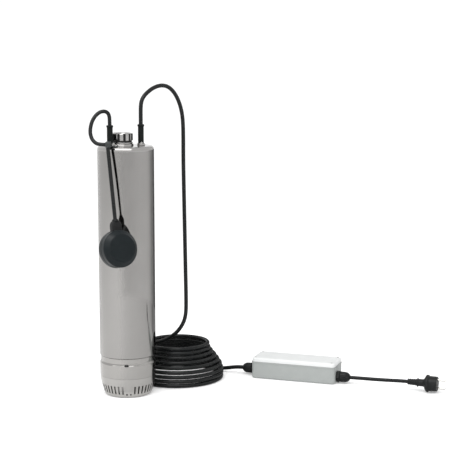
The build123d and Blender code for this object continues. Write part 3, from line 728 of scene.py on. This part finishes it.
plates, gsc = [], []
for q, (x, y) in enumerate(((GX, GY), (FX, FY))):
    aa = math.atan2(y - PY, x - PX)
    mt = Matrix.Translation((x * MM, y * MM, 0)) @ Matrix.Rotation(aa + math.pi / 2, 4, "Z")
    pl = prism("gl_plate%d" % q, slot_outline(32.0, 17.5), 572.05, 576.6, "head", mt)
    hole = lathe("hole%d" % q, [(0, 570.0), (6.9, 570.0), (6.9, 580.0), (0, 580.0)], "head", n=64, mtx=Matrix.Translation((x * MM, y * MM, 0)))
    cut(pl, [hole])
    bevel(pl, 0.7, 3)
    plates.append(pl)
    for s in (-1, 1):
        gsc.append(cap_screw("gsc%d%d" % (q, s), x + s * 11.2 * math.cos(aa + math.pi / 2), y + s * 11.2 * math.sin(aa + math.pi / 2), 576.6))
place(join("gland_flanges", plates), "pump", "polished_stainless", "gland_plates")
place(join("gland_cap_screws", gsc), "pump", "steel", "gland_screws")

# --- float cable clip: a rounded saddle on a screwed foot, with the cable through its bore
def rcyl(name, lx, ly, lz, R, rb, mat, mtx, seg=4):
    seq = [(rb, 0.0)]
    for k in range(1, seg + 1):
        t = math.pi / 2 * k / seg
        seq.append((rb * (1 - math.sin(t)), rb * (1 - math.cos(t))))
    for k in range(seg + 1):
        t = math.pi / 2 * k / seg
        seq.append((rb * (1 - math.cos(t)), lz - rb * (1 - math.sin(t))))
    return rloft(name, lx, ly, R, seq, mat, mtx)


sad = rcyl("clip_block", 12.6, 27.0, 12.4, 4.2, 2.2, "clip", Matrix.Translation((-35.0 * MM, -59.0 * MM, 572.6 * MM)))
foot = rcyl("clip_foot", 19.0, 8.6, 2.4, 3.2, 0.6, "clip", Matrix.Translation((-23.4 * MM, -49.0 * MM, 572.02 * MM)))
gus = prism("clip_gusset", [(-29.5, 572.6), (-29.5, 580.5), (-27.9, 577.0), (-25.6, 574.4)], -3.6, 3.6, "clip",
            Matrix.Translation((0, -49.0 * MM, 0)) @ Matrix.Rotation(math.pi / 2, 4, "X"))
place(join("cable_clip", [sad, foot, gus]), "pump", "clip_plastic", "float_cable_clip")
place(cap_screw("clip_screw_head", -19.5, -49.0, 574.3, 3.1, 2.3), "pump", "steel", "clip_screw")

# ============================================================ float switch
MF = frame_m(FC, FXA, FYA, FNA)


def puck(name, z_in, z_out, sgn, node):
    """One half of the float body, from the seam out to its flat face."""
    prof = [(0.0, 18.9), (30.5, 18.9, 0.8), (38.8, 11.3, 0.8), (38.8, 0.35), (41.0, 0.35), (41.5, 0.9, 0.5), (41.5, 12.0, 2.4), (31.4, 21.2, 1.8)]
    prof += [(30.2, 21.4, 0.25), (29.8, 21.1, 0.25), (29.0, 21.1, 0.25), (28.6, 21.4, 0.25), (0.0, 21.5)]
    p = [(r, z * sgn, *rest) for (r, z, *rest) in prof]
    o = lathe(name, fil(p, 6), "float", n=224, mtx=MF, deg=40)
    return place(o, "float", "float_plastic", node)


puck("float_front", 0, 21.5, 1, "float_shell_front")
puck("float_rear", 0, 21.5, -1, "float_shell_back")
# near-black ring in the seam gap between the halves: painted shade
seamring = lathe("float_seam", [(38.0, -0.8), (41.05, -0.8), (41.05, 0.8), (38.0, 0.8)], "painted_shade_dark", n=160, mtx=MF)

# neck: a tapered block moulded round the cable
nk = []
MN = MF @ Matrix.Translation((0, 38.0 * MM, 0)) @ Matrix.Rotation(-math.pi / 2, 4, "X")
seq = [(0.0, 0.0), (0.0, 13.0), (0.35, 16.6), (1.3, 19.6), (2.9, 22.2), (5.0, 24.2), (6.6, 25.0)]
nk.append(rloft("neck_block", 23.6, 17.4, 3.6, seq, "neck", MN, deg=35))
nk.append(lathe("neck_boot", fil([(0.0, 23.0), (7.6, 23.0), (7.0, 25.6, 0.6), (6.3, 27.6, 0.6), (5.2, 28.3, 0.4), (4.2, 28.3), (4.2, 24.0), (0.0, 24.0)], 4), "neck", n=96, mtx=MN))
nk.append(rloft("neck_band", 24.1, 17.9, 3.7, [(0.3, 8.6), (0.0, 8.9), (0.0, 10.1), (0.3, 10.4)], "neck", MN))
neck = join("neck", nk + [seamring])
place(neck, "float", "float_plastic", "float_neck")

# ============================================================ start box
MB = frame_m((BC.x, BC.y, 0.0), BU, BV, (0, 0, 1))


for nm, w in (("box_base", 0.5), ("box_lid", 0.5)):
    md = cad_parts[nm].modifiers.new("edge", "BEVEL")
    md.width = w * MM
    md.segments = 3
    md.limit_method = "ANGLE"
    md.angle_limit = math.radians(40)

# cable glands at both ends of the box: hexagon body against the wall, fluted dome nut outside it
gb, gn = [], []
for s in (-1, 1):
    org = BC + BU * (s * BOX_L / 2) + BV * GL_V[s]
    mt = frame_m((org.x, org.y, GL_Z), BV * s, (0, 0, 1), BU * s)
    rc = R_PC if s < 0 else R_MC
    gb.append(lathe("gl_body%d" % s, [(rc + 0.1, -3.0), (12.6, -3.0), (12.6, -2.9), (12.6, 0.1), (12.8, 0.2), (13.4, 0.9), (13.4, 6.8), (12.8, 7.5), (11.0, 8.2), (rc + 0.1, 8.2)],
                    "nut", n=96, mtx=mt, fn=lambda r, z, a: (hexr(24.0, a) * r / 13.4 if (r > 12.5 and z > 0.0) else r)))

    def dome(r, z, a):
        if 9.8 < r and 9.0 < z < 25.0:
            return r - 0.55 * max(0.0, math.cos(a * 14)) ** 3
        return r
    gn.append(lathe("gl_nut%d" % s, fil([(rc + 0.1, 8.4), (12.0, 8.4, 0.4), (12.4, 9.2, 0.4), (12.4, 18.6, 2.0), (11.8, 23.0, 3.0), (9.9, 27.6, 3.0), (7.4, 30.4, 1.5),
                                         (6.6, 31.0, 0.5), (rc + 0.7, 31.0, 0.3), (rc + 0.1, 29.8)], 4), "nut", n=168, mtx=mt, fn=dome))
for o in gb:
    place(o, "pump", "gland_plastic", "box_gland_bodies")
for o in gn:
    place(o, "pump", "gland_plastic", "box_gland_nuts")

# ============================================================ mains plug
MP = frame_m(PC, (0, 0, 1), Vector((0, 0, 1)).cross(PU) * -1.0, PU)
MP = frame_m(PC, (0, 0, 1), PU.cross(Vector((0, 0, 1))), PU)
prof = [(R_MC + 0.1, 0.3), (5.6, 0.0, 0.3)]
for k in range(5):
    s0 = k * 4.4
    ro = 7.1 + 0.16 * k
    prof += [(ro, s0 + 0.2, 0.45), (ro + 0.15, s0 + 2.7, 0.45), (ro - 1.1, s0 + 2.9, 0.3), (ro - 1.0, s0 + 4.3, 0.3)]
prof += [(9.9, 22.1, 0.4), (10.1, 24.0, 0.6), (8.5, 26.0, 0.6), (8.4, 27.7), (R_MC + 0.1, 27.7)]
place(lathe("plug_boot", fil(prof, 3), "plug", n=96, mtx=MP), "pump", "plug_black", "plug_sleeve")


pb = lathe("plug_shell", fil([(0.0, 27.0), (8.6, 27.0), (8.6, 36.2, 1.5), (10.8, 39.2, 1.0), (15.4, 41.2, 1.0), (19.2, 43.8, 0.8), (20.0, 45.2, 0.6), (20.0, 48.2, 0.7), (18.8, 49.8, 0.4),
                              (17.4, 50.6, 0.5), (17.3, 68.6, 0.9), (16.2, 69.9, 0.4), (0.0, 70.0)], 4), "plug", n=160, mtx=MP)
cutters = []
for s in (-1, 1):
    cutters.append(prism("gr%d" % s, [(-3.8, -3.6), (3.8, -3.6), (3.8, 3.6), (-3.8, 3.6)], 52.0, 74.0, "plug",
                         MP @ Matrix.Translation((s * 20.2 * MM, 0, 0))))
    cutters.append(lathe("ph%d" % s, [(0, 68.0), (3.0, 68.0), (3.0, 72.0), (0, 72.0)], "plug", n=32, mtx=MP @ Matrix.Translation((s * 9.5 * MM, 0, 0))))
cutters.append(lathe("eh", [(0, 59.0), (3.2, 59.0), (3.2, 72.0), (0, 72.0)], "plug", n=32, mtx=MP @ Matrix.Translation((0, 9.2 * MM, 0))))
cut(pb, cutters)
bevel(pb, 0.35, 2, 40)
place(pb, "pump", "plug_black", "plug_body")
pins = []
for s in (-1, 1):
    mt = MP @ Matrix.Translation((s * 9.5 * MM, 0, 0))
    pins.append(lathe("pin%d" % s, fil([(0.0, 58.0), (2.0, 58.0), (2.0, 70.4), (2.35, 70.5), (2.35, 87.6, 0.8), (1.4, 89.0, 0.6), (0.0, 89.1)], 4), "nickel", n=48, mtx=mt))
place(join("plug_pin_pair", pins), "pump", "nickel_pin", "plug_pins")


# ============================================================ studio
def card(name, loc, size, rot, color, strength=None):
    me = bpy.data.meshes.new(name)
    sx, sy = size[0] / 2, size[1] / 2
    me.from_pydata([(-sx, -sy, 0), (sx, -sy, 0), (sx, sy, 0), (-sx, sy, 0)], [], [(0, 1, 2, 3)])
    ob = bpy.data.objects.new(name, me)
    ob.location = loc
    ob.rotation_euler = rot
    COLL.objects.link(ob)
    m = bpy.data.materials.new(name)
    m.use_nodes = True
    nt = m.node_tree
    nt.nodes.clear()
    out = nt.nodes.new("ShaderNodeOutputMaterial")
    if strength is None:
        b = nt.nodes.new("ShaderNodeBsdfPrincipled")
        b.inputs["Base Color"].default_value = (*color, 1)
        b.inputs["Roughness"].default_value = 0.95
        b.inputs["Specular IOR Level"].default_value = 0.1
        nt.links.new(b.outputs[0], out.inputs[0])
    else:
        e = nt.nodes.new("ShaderNodeEmission")
        e.inputs["Color"].default_value = (*color, 1)
        e.inputs["Strength"].default_value = strength
        nt.links.new(e.outputs[0], out.inputs[0])
    me.materials.append(m)
    return ob


world = bpy.data.worlds.new("world")
bpy.context.scene.world = world
world.use_nodes = True
wn = world.node_tree
wn.nodes.clear()
wo = wn.nodes.new("ShaderNodeOutputWorld")
bg = wn.nodes.new("ShaderNodeBackground")
bg.inputs["Color"].default_value = (1.0, 1.0, 1.0, 1.0)
bg.inputs["Strength"].default_value = 1.02
wn.links.new(bg.outputs[0], wo.inputs[0])

fl = card("floor", (0.3, 0.0, -0.0006), (240.0, 240.0), (0, 0, 0), (0.90, 0.90, 0.90))
fb = [n for n in fl.data.materials[0].node_tree.nodes if n.type == "BSDF_PRINCIPLED"][0]
fb.inputs["Emission Color"].default_value = (1, 1, 1, 1)
fb.inputs["Emission Strength"].default_value = 0.18


def area(name, loc, target, size, energy, color=(1, 1, 1)):
    li = bpy.data.lights.new(name, "AREA")
    li.shape = "RECTANGLE"
    li.size, li.size_y = size
    li.energy = energy
    li.color = color
    ob = bpy.data.objects.new(name, li)
    ob.location = loc
    d = Vector(target) - Vector(loc)
    ob.rotation_euler = d.to_track_quat("-Z", "Y").to_euler()
    COLL.objects.link(ob)
    return ob


# two soft boxes, and a grey surround that shades the right side of the polished tube in reflections only
area("top", (-0.20, -0.74, 1.85), (-0.02, -0.1, 0.3), (1.5, 0.7), 18.0)
area("key", (-0.7, -2.0, 1.75), (0.05, 0.0, 0.35), (4.6, 0.9), 16.5)


def grade(table, a):
    for (a0, v0), (a1, v1) in zip(table, table[1:]):
        if a0 <= a <= a1:
            return v0 + (v1 - v0) * (a - a0) / (a1 - a0)
    return table[-1][1]


# greys against azimuth, in degrees from -Y towards +X
LOW = [(-42, 0.97), (-5, 0.95), (18, 0.92), (58, 0.89), (96, 0.86), (112, 0.66), (124, 0.32), (134, 0.28), (142, 0.36), (182, 0.36)]
UP = [(-42, 0.83), (10, 0.83), (36, 0.85), (60, 0.87), (88, 0.84), (102, 0.76), (114, 0.56), (124, 0.34), (132, 0.31), (142, 0.15),
      (182, 0.08)]
LEFT = [(-182, 0.50), (-160, 0.56), (-146, 0.68), (-134, 0.80), (-120, 0.88)]
for nm, table, rows in (("surround_left_low", LEFT, ((0.07, 0.0008, 1.05), (0.9, 0.0008, 1.05))),
                        ("surround_left_up", LEFT, ((0.9, 0.0, 1.1), (0.9, 0.25, 1.0), (0.9, 0.52, 1.0))),
                        ("surround_low", LOW, ((0.07, 0.0008, 0.92), (0.9, 0.0008, 0.92))),
                        ("surround_up", UP, ((0.9, 0.0, 1.06), (0.9, 0.14, 1.03), (0.9, 0.30, 0.98), (0.9, 0.52, 0.98)))):
    a0, a1 = table[0][0], table[-1][0]
    n = int((a1 - a0) / 2)
    az = [math.radians(a0 + (a1 - a0) * k / n) for k in range(n + 1)]
    fo = card(nm, (0, 0, 0), (0.1, 0.1), (0, 0, 0), (0.8, 0.8, 0.8))
    me = fo.data
    me.clear_geometry()
    me.from_pydata([(math.sin(t) * r, -math.cos(t) * r, z) for r, z, f in rows for t in az], [],
                   [(j * (n + 1) + k, j * (n + 1) + k + 1, (j + 1) * (n + 1) + k + 1, (j + 1) * (n + 1) + k)
                    for j in range(len(rows) - 1) for k in range(n)])
    ca = me.color_attributes.new("grey", "FLOAT_COLOR", "POINT")
    for k in range(len(rows) * (n + 1)):
        g = min(0.98, grade(table, math.degrees(az[k % (n + 1)])) * rows[k // (n + 1)][2])
        deg = math.degrees(az[k % (n + 1)])
        ca.data[k].color = (g, g, g, smooth((deg + 42.0) / 52.0) if a1 > 0 else smooth((-118.0 - deg) / 34.0))
    nt = me.materials[0].node_tree
    at = nt.nodes.new("ShaderNodeAttribute")
    at.attribute_name = "grey"
    pb_node = [q for q in nt.nodes if q.type == "BSDF_PRINCIPLED"][0]
    nt.links.new(at.outputs["Color"], pb_node.inputs["Base Color"])
    nt.links.new(at.outputs["Alpha"], pb_node.inputs["Alpha"])
    fo.visible_camera = False
    fo.visible_diffuse = False
    fo.visible_shadow = False
    fo.visible_transmission = False

bpy.context.scene.view_settings.view_transform = "Standard"

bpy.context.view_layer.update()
